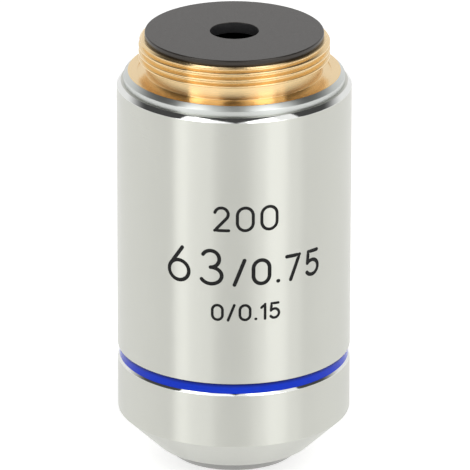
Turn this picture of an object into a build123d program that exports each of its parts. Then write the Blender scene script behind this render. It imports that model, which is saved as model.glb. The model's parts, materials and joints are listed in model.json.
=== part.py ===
from build123d import *
import os
from math import radians, tan

# Microscope objective, in millimetres
# The origin is on the optical axis, in the shoulder face that seats on the nosepiece.
# +Z points along the screw thread, away from the specimen.

# Screw thread and shoulder
thread_diameter = 20.32
thread_length = 2.27
thread_chamfer = 0.36
neck_length = 1.45
neck_depth = 0.76
seat_relief_width = 0.14
seat_relief_depth = 0.1
seat_width = 1.0
flange_chamfer = 0.48
flange_thickness = 1.11
skirt_length = 7.9
skirt_wall = 0.8

# Rear stop
stop_overhang = 0.65
stop_disc_thickness = 0.62
stop_edge_break = 0.12
stop_opening_diameter = 5.2
stop_plate_thickness = 1.2
stop_spigot_length = 2.4
stop_spigot_wall = 1.0
stop_bore_wall = 1.96
ledge_thickness = 2.8
ledge_width = 1.2

# Outer sleeve
rim_step = 0.29
sleeve_chamfer = 0.43
sleeve_wall = 1.35
cone_half_angle = 45.9
cone_end_lip = 0.2
cone_end_break = 0.08
ring_height = 1.41
ring_depth = 0.25
ring_above_cone = 5.85
enamel_thickness = 0.1

# Place of the specimen below the shoulder, and free distance under the tip
parfocal_distance = 45.0
working_distance = 0.3

# Nose
tip_diameter = 7.4
tip_length = 1.35
tip_edge_break = 0.3
nose_diameter = 16.2
nose_length = 4.75
nose_chamfer = 1.24
nose_wall = 1.05
nose_projection = 1.29
nose_clearance = 0.3
front_flange_thickness = 0.8
front_flange_play = 0.5

# Guide tube and its rings
guide_thread_step = 0.25
guide_thread_runout = 0.9
guide_wall = 1.0
guide_drop = 1.0
lip_thickness = 1.2
lip_clearance = 0.25
lock_ring_thickness = 2.0
cap_recess = 0.4
cap_thickness = 1.6
cap_width = 1.7
spanner_slot_width = 1.2
spanner_slot_depth = 0.8

# Lens barrel
barrel_wall = 1.8
barrel_edge_break = 0.3
barrel_neck_step = 0.25
barrel_neck_length = 3.6
barrel_thread_step = 0.85
front_bore_wall = 1.1
retainer_thickness = 1.2
retainer_width = 1.3
retainer_recess = 0.76
travel = 2.0

# Retraction spring
wire_diameter = 0.7
coil_pitch = 1.45
coil_clearance = 0.3

# Guide screw
screw_drop = 7.5
screw_shank_diameter = 1.6
screw_head_diameter = 2.3
screw_head_height = 0.8
screw_end_gap = 0.15
screw_slot_width = 0.4
screw_slot_depth = 0.4
spotface_depth = 0.15
slot_end_play = 0.3

# Clearances
thread_gap = 0.02
slip_gap = 0.02
running_gap = 0.03
stop_gap = 0.02
seat_gap = 0.05
cement_gap = 0.01
screw_gap = 0.1
tip_gap = 0.1

# Front lens and its seat
front_lens_diameter = 3.8
front_lens_edge = 0.6
front_lens_dome = 1.3
front_lens_recess = 0.15
front_seat_width = 0.3
front_seat_height = 0.5
front_exit_diameter = 6.4

# Lens cells, and the ground rims of the lenses that seat in them
cell_lip_thickness = 0.6
cell_headroom = 0.4
cell_edge_break = 0.15
lens_rim = 0.5
cement_rim = 0.1

# Single lenses: radial wall of the cell, edge height, and rise of the lower and upper face to its pole
meniscus_cell_wall = 1.96
meniscus_edge = 0.9
meniscus_lower = 0.5
meniscus_upper = 1.3
field_cell_wall = 1.26
field_edge = 1.0
field_lower = 0
field_upper = 1.1

# Cemented pairs: the spacer below, edge heights, and rise of the lower, cemented and upper face
spacer_4_height = 2.0
crown_4_edge = 1.4
flint_4_edge = 1.6
pair_4_lower = -0.9
pair_4_cemented = 1.2
pair_4_upper = 0.2
spacer_5_height = 1.0
crown_5_edge = 1.3
flint_5_edge = 1.6
pair_5_lower = -0.8
pair_5_cemented = 1.1
pair_5_upper = -0.1
spacer_6_height = 1.2
crown_6_edge = 1.3
flint_6_edge = 1.5
pair_6_lower = -0.7
pair_6_cemented = 0.9
pair_6_upper = 0.3
spacer_7_height = 1.2
crown_7_edge = 1.4
flint_7_edge = 2.0
pair_7_lower = -1.0
pair_7_cemented = 0.3
pair_7_upper = -0.9
pair_cell_wall = 1.7
spacer_wall = 1.2

# Radii from the thread out to the sleeve
thread_radius = thread_diameter / 2
neck_radius = thread_radius - neck_depth
seat_inner_radius = thread_radius + seat_relief_width
seat_outer_radius = seat_inner_radius + seat_width
flange_radius = seat_outer_radius + flange_chamfer
sleeve_top_radius = flange_radius + rim_step
sleeve_radius = sleeve_top_radius + sleeve_chamfer
ring_radius = sleeve_radius - ring_depth

# Radii from the sleeve in to the lenses
sleeve_bore = sleeve_radius - sleeve_wall
skirt_radius = sleeve_bore - slip_gap
skirt_bore = skirt_radius - skirt_wall
guide_thread_radius = skirt_bore - thread_gap
guide_radius = guide_thread_radius - guide_thread_step
guide_bore = guide_radius - guide_wall
barrel_radius = guide_bore - running_gap
lens_bore = barrel_radius - barrel_wall
cell_radius = lens_bore - slip_gap
pair_radius = cell_radius - pair_cell_wall
coil_radius = guide_bore - coil_clearance - wire_diameter / 2

# Radii inside the thread
spigot_bore = thread_radius - stop_bore_wall
ledge_bore = spigot_bore - ledge_width

# Radii of the nose
tip_radius = tip_diameter / 2
nose_radius = nose_diameter / 2
cone_end_bore = nose_radius + nose_clearance
cone_end_radius = cone_end_bore + cone_end_lip
barrel_neck_radius = nose_radius - barrel_neck_step
barrel_thread_radius = barrel_neck_radius - barrel_thread_step
lip_bore = barrel_neck_radius + lip_clearance
front_bore = barrel_thread_radius - front_bore_wall
front_cell_radius = front_bore - slip_gap
meniscus_radius = front_cell_radius - meniscus_cell_wall
field_radius = front_cell_radius - field_cell_wall
front_flange_radius = barrel_thread_radius - front_flange_play
front_lens_radius = front_lens_diameter / 2

# Heights from the shoulder up
mount_top = neck_length + thread_length
stop_top = mount_top + stop_disc_thickness
ledge_top = mount_top - stop_spigot_length - seat_gap
ledge_bottom = ledge_top - ledge_thickness

# Heights from the shoulder down
flange_bottom = -flange_thickness
skirt_bottom = flange_bottom - skirt_length
lock_ring_bottom = skirt_bottom - lock_ring_thickness
guide_top = ledge_bottom - guide_drop
cap_top = guide_top - cap_recess
cap_bottom = cap_top - cap_thickness

# Heights from the specimen up
tip_bottom = working_distance - parfocal_distance
nose_bottom = tip_bottom + tip_length
nose_top = nose_bottom + nose_length
front_flange_bottom = nose_bottom + nose_wall
barrel_bottom = front_flange_bottom + front_flange_thickness
barrel_shoulder = nose_top + barrel_neck_length
guide_lip_top = barrel_shoulder - stop_gap
guide_bottom = guide_lip_top - lip_thickness
sleeve_bottom = nose_bottom + nose_projection
cone_run = tan(radians(cone_half_angle))
crease = sleeve_bottom + (sleeve_radius - cone_end_radius) / cone_run
cone_bore_bottom = crease - (sleeve_bore - cone_end_bore) / cone_run
ring_bottom = crease + ring_above_cone
ring_top = ring_bottom + ring_height

# Cemented pairs by number, from the specimen up
spacer_heights = {4: spacer_4_height, 5: spacer_5_height, 6: spacer_6_height, 7: spacer_7_height}
crown_edges = {4: crown_4_edge, 5: crown_5_edge, 6: crown_6_edge, 7: crown_7_edge}
flint_edges = {4: flint_4_edge, 5: flint_5_edge, 6: flint_6_edge, 7: flint_7_edge}
lower_rises = {4: pair_4_lower, 5: pair_5_lower, 6: pair_6_lower, 7: pair_7_lower}
cemented_rises = {4: pair_4_cemented, 5: pair_5_cemented, 6: pair_6_cemented, 7: pair_7_cemented}
upper_rises = {4: pair_4_upper, 5: pair_5_upper, 6: pair_6_upper, 7: pair_7_upper}

# Heights of the lens stack, from the front cell's flange up
meniscus_cell_bottom = barrel_bottom
meniscus_cell_top = meniscus_cell_bottom + cell_lip_thickness + meniscus_edge + meniscus_upper
field_cell_top = meniscus_cell_top + cell_lip_thickness + field_edge + field_upper
spacer_bottoms = {}
pair_cell_bottoms = {}
pair_cell_tops = {}
stack_top = field_cell_top
for pair in crown_edges:
    pair_height = crown_edges[pair] + cement_gap + flint_edges[pair]
    spacer_bottoms[pair] = stack_top
    pair_cell_bottoms[pair] = stack_top + spacer_heights[pair]
    pair_cell_tops[pair] = pair_cell_bottoms[pair] + cell_lip_thickness + pair_height + cell_headroom
    stack_top = pair_cell_tops[pair]
lens_bore_bottom = pair_cell_bottoms[4] - seat_gap
barrel_top = stack_top + retainer_thickness + retainer_recess
screw_height = barrel_top - screw_drop
screw_seat = barrel_radius - spotface_depth


def turned(*corners):
    """A turned piece: a half section of (radius, height) corners, spun about the axis."""
    section = make_face(Plane.XZ * Polyline(*corners, close=True))
    return revolve(section, Axis.Z)


def ring(inner, outer, bottom, top):
    """A plain ring."""
    return turned((inner, bottom), (outer, bottom), (outer, top), (inner, top))


def outer_rim(face):
    """The widest circle of a turned piece's flat face."""
    return face.edges().sort_by(SortBy.RADIUS)[-1]


def highest_face(piece):
    return piece.faces().filter_by(Plane.XY).sort_by(Axis.Z)[-1]


def lowest_face(piece):
    return piece.faces().filter_by(Plane.XY).sort_by(Axis.Z)[0]


def radial_plug(radius, start, end):
    """A round plug along +Y at the guide screw's height."""
    axis = Plane(origin=(0, start, screw_height), z_dir=(0, 1, 0))
    return extrude(axis * Circle(radius), end - start)


def spanner_slots(outer, face, cut):
    """Two slots across a ring's face for the pins of a spanner; cut is the side that they go to."""
    reach = 2 * outer + spanner_slot_width
    return Pos(0, 0, face + cut * spanner_slot_depth / 2) * Box(reach, spanner_slot_width, spanner_slot_depth)


def thread_mount():
    """Thread, run-out neck, shoulder, rim and skirt in one piece."""
    return turned(
        (spigot_bore, mount_top),
        (thread_radius - thread_chamfer, mount_top),
        (thread_radius, mount_top - thread_chamfer),
        (thread_radius, neck_length),
        (neck_radius, neck_length),
        (neck_radius, -seat_relief_depth),
        (seat_inner_radius, -seat_relief_depth),
        (seat_inner_radius, 0),
        (seat_outer_radius, 0),
        (flange_radius, -flange_chamfer),
        (flange_radius, flange_bottom),
        (skirt_radius, flange_bottom),
        (skirt_radius, skirt_bottom),
        (skirt_bore, skirt_bottom),
        (skirt_bore, ledge_bottom),
        (ledge_bore, ledge_bottom),
        (ledge_bore, ledge_top),
        (spigot_bore, ledge_top),
    )


def rear_stop():
    """Cap with a spigot and the light opening, its rim rounded."""
    spigot_radius = spigot_bore - thread_gap
    spigot_bottom = mount_top - stop_spigot_length
    plate_bottom = stop_top - stop_plate_thickness
    stop = turned(
        (stop_opening_diameter / 2, stop_top),
        (thread_radius - stop_overhang, stop_top),
        (thread_radius - stop_overhang, mount_top),
        (spigot_radius, mount_top),
        (spigot_radius, spigot_bottom),
        (spigot_radius - stop_spigot_wall, spigot_bottom),
        (spigot_radius - stop_spigot_wall, plate_bottom),
        (stop_opening_diameter / 2, plate_bottom),
    )
    return fillet(highest_face(stop).edges(), stop_edge_break)


def outer_sleeve():
    """Cover sleeve with its ring groove and its cone, hollowed to an even wall."""
    sleeve = turned(
        (sleeve_bore, flange_bottom),
        (sleeve_top_radius, flange_bottom),
        (sleeve_radius, flange_bottom - sleeve_chamfer),
        (sleeve_radius, ring_top),
        (ring_radius, ring_top),
        (ring_radius, ring_bottom + ring_depth),
        (sleeve_radius, ring_bottom),
        (sleeve_radius, crease),
        (cone_end_radius, sleeve_bottom),
        (cone_end_bore, sleeve_bottom),
        (cone_end_bore, cone_bore_bottom),
        (sleeve_bore, crease),
    )
    return fillet(outer_rim(lowest_face(sleeve)), cone_end_break)


def colour_ring():
    """Enamel along the back and the lower bevel of the sleeve's groove."""
    back = ring_radius + cement_gap
    front = ring_radius + enamel_thickness
    bevel_foot = ring_bottom + ring_depth
    return turned(
        (back, ring_top),
        (front, ring_top),
        (front, bevel_foot - enamel_thickness + cement_gap),
        (back, bevel_foot),
    )


def guide_tube():
    """Tube with a threaded head, the stop lip at its foot and a slot for the guide screw."""
    thread_bottom = lock_ring_bottom - guide_thread_runout
    tube = turned(
        (guide_bore, guide_top),
        (guide_thread_radius, guide_top),
        (guide_thread_radius, thread_bottom),
        (guide_radius, thread_bottom),
        (guide_radius, guide_bottom),
        (lip_bore, guide_bottom),
        (lip_bore, guide_lip_top),
        (guide_bore, guide_lip_top),
    )
    slot_run = travel + 2 * slot_end_play
    slot_width = screw_head_diameter + 2 * screw_gap
    slot_plane = Plane(origin=(0, 0, screw_height + travel / 2), x_dir=(0, 0, 1), z_dir=(0, 1, 0))
    return tube - extrude(slot_plane * SlotCenterToCenter(slot_run, slot_width), guide_thread_radius)


def parfocal_lock_ring():
    """Slotted ring nut against the skirt's end."""
    nut = ring(guide_thread_radius + thread_gap, skirt_radius, lock_ring_bottom, skirt_bottom)
    return nut - spanner_slots(skirt_radius, lock_ring_bottom, 1)


def spring_cap_ring():
    """Slotted ring in the head of the guide tube, above the spring."""
    cap_radius = guide_bore - thread_gap
    cap = ring(cap_radius - cap_width, cap_radius, cap_bottom, cap_top)
    return cap - spanner_slots(cap_radius, cap_top, -1)


def retraction_spring():
    """Coil with its ends ground flat; eight flats stand for the round of its wire."""
    spring_height = cap_bottom - barrel_top
    coil = Helix(coil_pitch, spring_height, coil_radius, center=(0, 0, barrel_top))
    wire = sweep(Plane(origin=coil @ 0, z_dir=coil % 0) * RegularPolygon(wire_diameter / 2, 8), coil)
    ground = Cylinder(2 * coil_radius, spring_height, align=(Align.CENTER, Align.CENTER, Align.MIN))
    return wire & Pos(0, 0, barrel_top) * ground


def guide_screw():
    """Slotted cheese-head screw in the wall of the lens barrel."""
    head_end = screw_seat + screw_head_height
    shank = radial_plug(screw_shank_diameter / 2, lens_bore + screw_end_gap, screw_seat)
    head = radial_plug(screw_head_diameter / 2, screw_seat, head_end)
    slot = Pos(0, head_end, screw_height) * Box(2 * screw_head_diameter, 2 * screw_slot_depth, screw_slot_width)
    return shank + head - slot


def lens_barrel():
    """Sliding barrel: lens bore, stop shoulder, neck, nose thread, and the guide screw's seat."""
    barrel = turned(
        (front_bore, barrel_bottom),
        (barrel_thread_radius, barrel_bottom),
        (barrel_thread_radius, nose_top),
        (barrel_neck_radius, nose_top),
        (barrel_neck_radius, barrel_shoulder),
        (barrel_radius, barrel_shoulder),
        (barrel_radius, barrel_top),
        (lens_bore, barrel_top),
        (lens_bore, lens_bore_bottom),
        (front_bore, lens_bore_bottom),
    )
    barrel = chamfer(outer_rim(highest_face(barrel)), barrel_edge_break)
    screw_hole = radial_plug(screw_shank_diameter / 2 + thread_gap, 0, barrel_radius)
    spotface = radial_plug(screw_head_diameter / 2 + screw_gap, screw_seat, barrel_radius + screw_gap)
    return barrel - screw_hole - spotface


def nose_cone():
    """Threaded cap with a bevelled face that clamps the front cell."""
    thread_bore = barrel_thread_radius + thread_gap
    return turned(
        (tip_radius + tip_gap, nose_bottom),
        (nose_radius - nose_chamfer, nose_bottom),
        (nose_radius, nose_bottom + nose_chamfer),
        (nose_radius, nose_top),
        (thread_bore, nose_top),
        (thread_bore, front_flange_bottom),
        (tip_radius + tip_gap, front_flange_bottom),
    )


def front_cell():
    """Flanged tip with the front lens's pocket and a cone for the light behind it."""
    pocket = front_lens_radius + cement_gap
    seat_bore = front_lens_radius - front_seat_width + seat_gap
    seat = tip_bottom + front_lens_recess + front_lens_edge
    return turned(
        (pocket, tip_bottom),
        (tip_radius - tip_edge_break, tip_bottom),
        (tip_radius, tip_bottom + tip_edge_break),
        (tip_radius, front_flange_bottom),
        (front_flange_radius, front_flange_bottom),
        (front_flange_radius, barrel_bottom),
        (front_exit_diameter / 2, barrel_bottom),
        (seat_bore, seat + front_seat_height),
        (seat_bore, seat),
        (pocket, seat),
    )


def lens_cell(outer, lens_radius, bottom, top):
    """Ring whose bottom lip carries a lens by its rim."""
    pocket = lens_radius + cement_gap
    opening = lens_radius - lens_rim
    seat = bottom + cell_lip_thickness
    cell = turned(
        (opening, bottom),
        (outer, bottom),
        (outer, top),
        (pocket, top),
        (pocket, seat),
        (opening, seat),
    )
    return chamfer(outer_rim(highest_face(cell)), cell_edge_break)


def polished_face(radius, rim_height, rise):
    """Half section of a lens face: an arc that is level on the axis, or a straight line."""
    if rise == 0:
        return Line((0, rim_height), (radius, rim_height))
    return TangentArc((0, rim_height + rise), (radius, rim_height), tangent=(1, 0))


def lens(radius, bottom, edge, lower, upper, lower_rim, upper_rim):
    """A lens with flat ground rims; its faces rise to their poles by lower and upper."""
    top = bottom + edge
    lower_radius = radius - lower_rim
    upper_radius = radius - upper_rim
    with BuildSketch(Plane.XZ) as section:
        with BuildLine():
            polished_face(lower_radius, bottom, lower)
            Polyline((lower_radius, bottom), (radius, bottom), (radius, top), (upper_radius, top))
            polished_face(upper_radius, top, upper)
            Line((0, bottom + lower), (0, top + upper))
        make_face()
    return revolve(section.sketch, Axis.Z)


def front_lens():
    """Nearly a half ball, flat towards the specimen."""
    bottom = tip_bottom + front_lens_recess
    return lens(front_lens_radius, bottom, front_lens_edge, 0, front_lens_dome, front_seat_width, front_seat_width)


def crown_lens(pair):
    """Lower lens of a cemented pair."""
    bottom = pair_cell_bottoms[pair] + cell_lip_thickness
    faces = lower_rises[pair], cemented_rises[pair]
    return lens(pair_radius, bottom, crown_edges[pair], *faces, lens_rim, cement_rim)


def flint_lens(pair):
    """Upper lens of a cemented pair."""
    bottom = pair_cell_bottoms[pair] + cell_lip_thickness + crown_edges[pair] + cement_gap
    faces = cemented_rises[pair], upper_rises[pair]
    return lens(pair_radius, bottom, flint_edges[pair], *faces, cement_rim, lens_rim)


def meniscus_lens():
    bottom = meniscus_cell_bottom + cell_lip_thickness
    return lens(meniscus_radius, bottom, meniscus_edge, meniscus_lower, meniscus_upper, lens_rim, lens_rim)


def field_lens():
    bottom = meniscus_cell_top + cell_lip_thickness
    return lens(field_radius, bottom, field_edge, field_lower, field_upper, lens_rim, lens_rim)


def lens_retainer():
    """Slotted ring nut on top of the lens stack."""
    retainer_radius = lens_bore - thread_gap
    nut_top = stack_top + retainer_thickness
    nut = ring(retainer_radius - retainer_width, retainer_radius, stack_top, nut_top)
    return nut - spanner_slots(retainer_radius, nut_top, -1)


pieces = {
    "thread_mount": thread_mount(),
    "rear_stop": rear_stop(),
    "outer_sleeve": outer_sleeve(),
    "colour_ring": colour_ring(),
    "guide_tube": guide_tube(),
    "parfocal_lock_ring": parfocal_lock_ring(),
    "spring_cap_ring": spring_cap_ring(),
    "retraction_spring": retraction_spring(),
    "guide_screw": guide_screw(),
    "lens_barrel": lens_barrel(),
    "nose_cone": nose_cone(),
    "front_cell": front_cell(),
    "front_lens": front_lens(),
    "lens_cell_2": lens_cell(front_cell_radius, meniscus_radius, meniscus_cell_bottom, meniscus_cell_top),
    "meniscus_lens_2": meniscus_lens(),
    "lens_cell_3": lens_cell(front_cell_radius, field_radius, meniscus_cell_top, field_cell_top),
    "field_lens_3": field_lens(),
    "lens_retainer": lens_retainer(),
}
for pair in crown_edges:
    spacer_radius = front_cell_radius if pair == 4 else cell_radius
    spacer_name = f"spacer_{pair - 1}_{pair}"
    spacer_bottom = spacer_bottoms[pair]
    cell_bottom = pair_cell_bottoms[pair]
    pieces[spacer_name] = ring(spacer_radius - spacer_wall, spacer_radius, spacer_bottom, cell_bottom)
    pieces[f"lens_cell_{pair}"] = lens_cell(cell_radius, pair_radius, cell_bottom, pair_cell_tops[pair])
    pieces[f"crown_lens_{pair}"] = crown_lens(pair)
    pieces[f"flint_lens_{pair}"] = flint_lens(pair)

os.makedirs("parts", exist_ok=True)
for name, piece in pieces.items():
    export_step(piece, f"parts/{name}.step")
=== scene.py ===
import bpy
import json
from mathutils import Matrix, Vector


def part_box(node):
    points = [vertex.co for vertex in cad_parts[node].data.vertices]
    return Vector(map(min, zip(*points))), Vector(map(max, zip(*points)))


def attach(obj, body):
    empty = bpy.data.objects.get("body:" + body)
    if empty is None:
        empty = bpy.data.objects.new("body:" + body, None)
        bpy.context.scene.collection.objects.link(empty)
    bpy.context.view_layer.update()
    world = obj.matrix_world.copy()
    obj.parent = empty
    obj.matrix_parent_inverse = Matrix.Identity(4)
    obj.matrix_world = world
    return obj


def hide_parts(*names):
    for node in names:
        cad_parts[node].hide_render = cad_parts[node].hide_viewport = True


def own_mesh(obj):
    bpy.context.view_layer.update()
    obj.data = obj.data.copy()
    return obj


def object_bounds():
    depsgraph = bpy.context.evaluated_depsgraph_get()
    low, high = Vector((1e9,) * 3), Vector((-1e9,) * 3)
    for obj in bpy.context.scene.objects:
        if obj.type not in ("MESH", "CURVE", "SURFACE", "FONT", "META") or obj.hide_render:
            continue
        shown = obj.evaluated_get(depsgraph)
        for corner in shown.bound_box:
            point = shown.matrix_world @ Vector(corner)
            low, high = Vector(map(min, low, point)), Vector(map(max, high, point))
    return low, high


bl_info = {
    "name": "Microscope Objective",
    "version": (1, 0, 0),
    "blender": (4, 5, 0),
    "location": "View3D > Sidebar > Objective",
    "description": "Finishes a spring-loaded microscope objective around its packed solids",
    "category": "Object",
}

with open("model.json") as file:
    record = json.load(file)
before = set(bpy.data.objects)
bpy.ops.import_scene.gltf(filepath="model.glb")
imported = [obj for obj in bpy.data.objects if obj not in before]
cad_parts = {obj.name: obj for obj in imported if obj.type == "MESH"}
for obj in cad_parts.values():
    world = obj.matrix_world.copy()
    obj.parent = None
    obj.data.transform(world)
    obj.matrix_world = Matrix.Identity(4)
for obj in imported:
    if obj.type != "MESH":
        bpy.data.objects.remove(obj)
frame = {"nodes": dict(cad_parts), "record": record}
cad_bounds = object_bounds()

import json
from math import atan2, ceil, cos, hypot, pi, radians, sin

import bmesh
import bpy
from bpy.props import FloatProperty, FloatVectorProperty, IntProperty, PointerProperty, StringProperty
from mathutils import Matrix, Vector

MM = 0.001
AXIS = (0, 0, 1)
CENTRE = (0, 0, 0)
# Direction of the side that carries the numbers
FRONT_ANGLE = -pi / 2
# Points closer than this are one point
SAME = 1e-7
# Edges that turn by more than this stay sharp
SHARP = radians(32)

mount_low, mount_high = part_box("thread_mount")
stop_low, stop_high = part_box("rear_stop")
sleeve_low, sleeve_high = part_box("outer_sleeve")
nose_low, nose_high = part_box("nose_cone")
cell_low, cell_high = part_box("front_cell")
lens_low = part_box("front_lens")[0]
spring_low, spring_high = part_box("retraction_spring")


def length(name, default, description):
    """A size in metres that a user can change, given in millimetres."""
    return FloatProperty(
        name=name,
        description=description,
        default=default * MM,
        unit="LENGTH",
        subtype="DISTANCE",
        precision=5,
    )


def angle(name, default, description):
    """An angle that a user can change, given in degrees."""
    return FloatProperty(
        name=name, description=description, default=radians(default), unit="ROTATION", subtype="ANGLE"
    )


def colour(name, default, description):
    """A linear colour that a user can change."""
    return FloatVectorProperty(
        name=name, description=description, default=default, size=3, min=0, max=1, subtype="COLOR"
    )


def count(name, default, description, least=8):
    """A number of faces that a user can change."""
    return IntProperty(name=name, description=description, default=default, min=least)


class ThreadSizes(bpy.types.PropertyGroup):
    """Sizes of the screw thread, its neck and the shoulder."""

    radius: length("Major radius", 10.16, "Radius over the crests of the thread")
    pitch: length("Pitch", 0.7056, "Distance from one crest to the next, 36 to the inch")
    depth: length("Depth", 0.452, "Height of a crest over its root")
    first_crest: length("First crest", 1.617, "Height of the lowest crest at the front")
    chamfer: length("Lead-in", 0.36, "Chamfer at the thread's open end")
    neck_top: length("Neck top", 1.45, "Height at which the thread starts")
    neck_radius: length("Neck radius", 9.4, "Radius of the run-out neck")
    relief_radius: length("Relief radius", 10.3, "Outer radius of the shallow relief round the neck")
    relief_depth: length("Relief depth", 0.1, "Depth of that relief")
    face_radius: length("Face radius", 11.3, "Outer radius of the shoulder's face")
    rim_radius: length("Rim radius", 11.78, "Radius of the plated rim")
    rim_bottom: length("Rim bottom", -1.11, "Height at which the rim meets the sleeve")
    skirt_radius: length("Skirt radius", 11.13, "Radius of the skirt inside the sleeve")
    skirt_bore: length("Skirt bore", 10.33, "Radius of the skirt's inside")
    ledge_bottom: length("Ledge bottom", -1.53, "Underside of the inner ledge")
    ledge_top: length("Ledge top", 1.27, "Upper side of the inner ledge")
    ledge_bore: length("Ledge bore", 7.0, "Radius of the ledge's hole")
    spigot_bore: length("Spigot bore", 8.2, "Radius of the bore that takes the rear stop")
    row_height: length("Row height", 0.028, "Height of one row of faces in the thread")
    edge_round: length("Edge rounding", 0.03, "Rounding of the rim's and the face's edges")


class StopSizes(bpy.types.PropertyGroup):
    """Sizes of the black rear stop."""

    disc_radius: length("Disc radius", 9.51, "Radius of the disc")
    opening: length("Opening radius", 2.6, "Radius of the light opening")
    spigot_radius: length("Spigot radius", 8.18, "Radius of the spigot in the mount")
    spigot_bore: length("Spigot bore", 7.18, "Inner radius of the spigot")
    plate: length("Plate thickness", 1.2, "Thickness round the opening")
    rim_round: length("Rim rounding", 0.13, "Rounding of the disc's upper rim")
    edge_round: length("Edge rounding", 0.05, "Rounding of the other edges")


class SleeveSizes(bpy.types.PropertyGroup):
    """Sizes of the cover sleeve and its coloured ring."""

    top_radius: length("Top radius", 12.07, "Radius at which the polished top chamfer meets the top")
    chamfer: length("Top chamfer", 0.43, "Height of the polished top chamfer")
    bore: length("Bore", 11.15, "Inner radius")
    ring_top: length("Ring top", -31.02, "Upper edge of the groove")
    ring_bottom: length("Ring bottom", -32.43, "Lower edge of the groove")
    ring_depth: length("Ring depth", 0.25, "Depth of the groove, and width of its lower bevel")
    crease: length("Crease", -38.28, "Height at which the cone starts")
    cone_radius: length("Cone end radius", 8.6, "Radius at which the cone ends")
    end_bore: length("End bore", 8.4, "Radius of the hole that the nose comes out of")
    end_bore_top: length("End bore top", -40.93, "Height at which that hole widens into the cone")
    edge_round: length("Edge rounding", 0.04, "Rounding of the sharp edges")
    enamel: length("Enamel", 0.03, "Thickness of the enamel at the groove's back")
    enamel_rise: length("Enamel rise", 0.02, "How much thicker the enamel is at its edges")
    enamel_fit: length("Enamel fit", 0.01, "How far the enamel stays off the groove's walls")
    enamel_bend: length("Enamel bend", 0.08, "Width of the band in which it thickens under the upper edge")


class NoseSizes(bpy.types.PropertyGroup):
    """Sizes of the retracting nose and the front cell."""

    radius: length("Radius", 8.1, "Radius of the nose")
    chamfer: length("Chamfer", 1.24, "Width of the nose's bevel")
    wall: length("Wall", 1.05, "Thickness of the nose's front wall")
    bore: length("Bore", 7.02, "Radius of the nose's thread bore")
    hole: length("Hole", 3.8, "Radius of the hole for the tip")
    tip_radius: length("Tip radius", 3.7, "Radius of the tip")
    tip_chamfer: length("Tip chamfer", 0.3, "Bevel of the tip")
    flange_radius: length("Flange radius", 6.5, "Radius of the front cell's flange")
    exit_radius: length("Exit radius", 3.2, "Radius of the cone for the light, at the flange")
    lens_pocket: length("Lens pocket", 1.91, "Radius of the front lens's pocket")
    seat_bore: length("Seat bore", 1.65, "Radius of the seat behind the lens")
    seat_height: length("Seat height", 0.6, "How far the seat lies over the lens's front")
    seat_length: length("Seat length", 0.5, "Length of the seat's bore")
    edge_round: length("Edge rounding", 0.06, "Rounding of the edges")


class SpringSizes(bpy.types.PropertyGroup):
    """Sizes of the retraction spring."""

    wire: length("Wire", 0.7, "Diameter of the wire")
    coil_radius: length("Coil radius", 8.41, "Radius of the coil at the wire's middle")
    pitch: length("Pitch", 1.45, "Rise of one turn")


class NumberSizes(bpy.types.PropertyGroup):
    """The engraved lines of plain numbers."""

    middle: length("Middle", 1.3, "How far right of the front the lines are centred, along the surface")
    depth: length("Depth", 0.06, "Depth of the painted engraving")
    cutter_play: length("Cutter play", 0.2, "How far the cutter stands out of the surface")
    first: StringProperty(name="First line", description="Numbers of the first line", default="200")
    second: StringProperty(name="Second line", description="Numbers of the second line", default="63/0.75")
    third: StringProperty(name="Third line", description="Numbers of the third line", default="0/0.15")


class Finish(bpy.types.PropertyGroup):
    """Colours of the finishes."""

    brass: colour("Brass", (0.83, 0.62, 0.34), "Turned brass of the mount and the inner tubes")
    satin: colour("Satin chrome", (0.585, 0.59, 0.545), "Satin chrome of the sleeve")
    # The cone's tint is the satin chrome made darker, as painted shade
    cone: colour("Cone", (0.55, 0.555, 0.52), "Satin chrome of the sleeve's cone")
    rim: colour("Rim", (0.60, 0.62, 0.60), "Plated rim of the mount")
    # The nose's tint is chrome darkened as painted shade, for the shade next to the floor
    nose: colour("Nose", (0.27, 0.27, 0.26), "Chrome of the nose")
    polished: colour("Polished chrome", (0.78, 0.79, 0.77), "Polished edges and the tip")
    enamel: colour("Enamel", (0.0, 0.035, 0.62), "Dark blue enamel of the ring")
    anodised: colour("Anodised", (0.012, 0.010, 0.008), "Black anodised stop")
    paint: colour("Paint", (0.012, 0.012, 0.012), "Black paint in the numbers")
    blackened: colour("Blackened", (0.012, 0.012, 0.013), "Blackened inner cells")
    steel: colour("Steel", (0.55, 0.55, 0.56), "Spring wire and screw")


class StageSizes(bpy.types.PropertyGroup):
    """The floor, the lights and the camera."""

    floor_width: length("Floor width", 1600, "Width of the pale floor")
    floor_gap: length("Floor gap", 0.02, "How far the floor lies under the tip")
    distance: length("Camera distance", 765.8, "Distance from the camera to its target")
    target_height: length("Target height", -18.9, "Height that the camera looks at")
    target_side: length("Target side", 0.107, "How far right of the axis the camera looks")
    elevation: angle("Elevation", 21.305, "Height of the camera over the horizon")
    roll: angle("Roll", 0.1, "Turn of the camera")
    lens: FloatProperty(name="Lens", description="Focal length on a 36 mm sensor", default=547.7)
    lamp_target: length("Lamp target", -20, "Height on the axis that the lamps face")
    lamp_elevation: angle("Lamp elevation", 36, "Height of the lamps over the horizon")


class Quality(bpy.types.PropertyGroup):
    """How finely the round pieces are divided."""

    around: count("Around", 240, "Faces round the large pieces")
    around_small: count("Around small", 128, "Faces round the small pieces")
    round_steps: count("Rounding", 4, "Faces across a rounded edge", least=1)
    coil_steps: count("Coil steps", 56, "Faces along one turn of the spring")
    wire_sides: count("Wire sides", 14, "Faces round the spring's wire")
    pen_sides: count("Pen sides", 16, "Faces round the end of an engraved stroke")


# Meshes


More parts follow.
